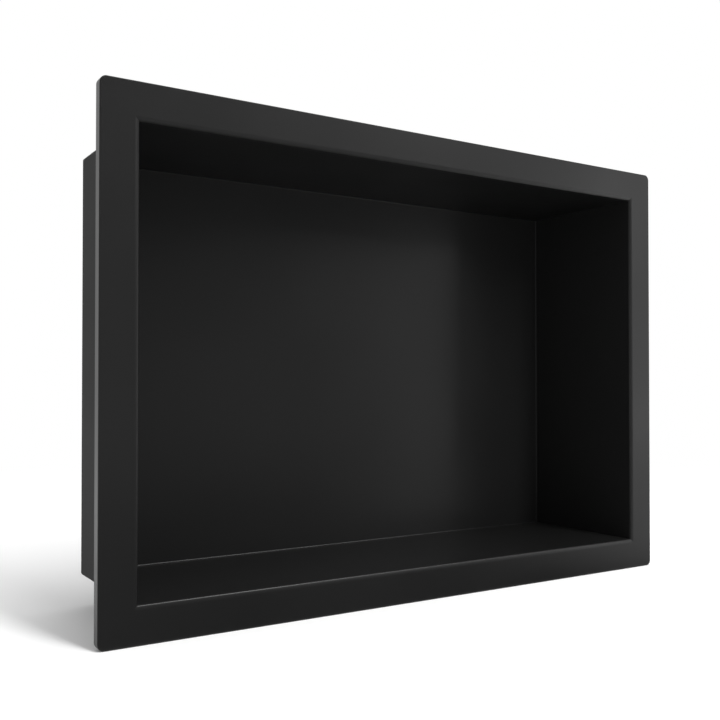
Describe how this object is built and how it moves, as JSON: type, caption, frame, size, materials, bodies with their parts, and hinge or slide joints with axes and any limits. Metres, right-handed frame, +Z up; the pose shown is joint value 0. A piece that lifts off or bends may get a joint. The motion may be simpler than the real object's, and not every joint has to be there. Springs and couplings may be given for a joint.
{
  "type": "shower niche insert",
  "caption": "Flanged rectangular box folded and welded from sheet steel with a satin black coat; sits in a cut-out in a shower wall as a recessed shelf for bottles and soap.",
  "frame": {"origin": "centre of the opening, in the plane of the finished wall where the flange's lip meets the tiles", "axes": "+X to the right for someone facing the wall, +Y into the wall, +Z up"},
  "size_m": [0.4318, 0.1053, 0.3048],
  "materials": {
    "satin_black_coat": "satin black coat on stainless sheet"
  },
  "bodies": {
    "root": {"niche_body": "satin_black_coat"}
  },
  "joints": []
}
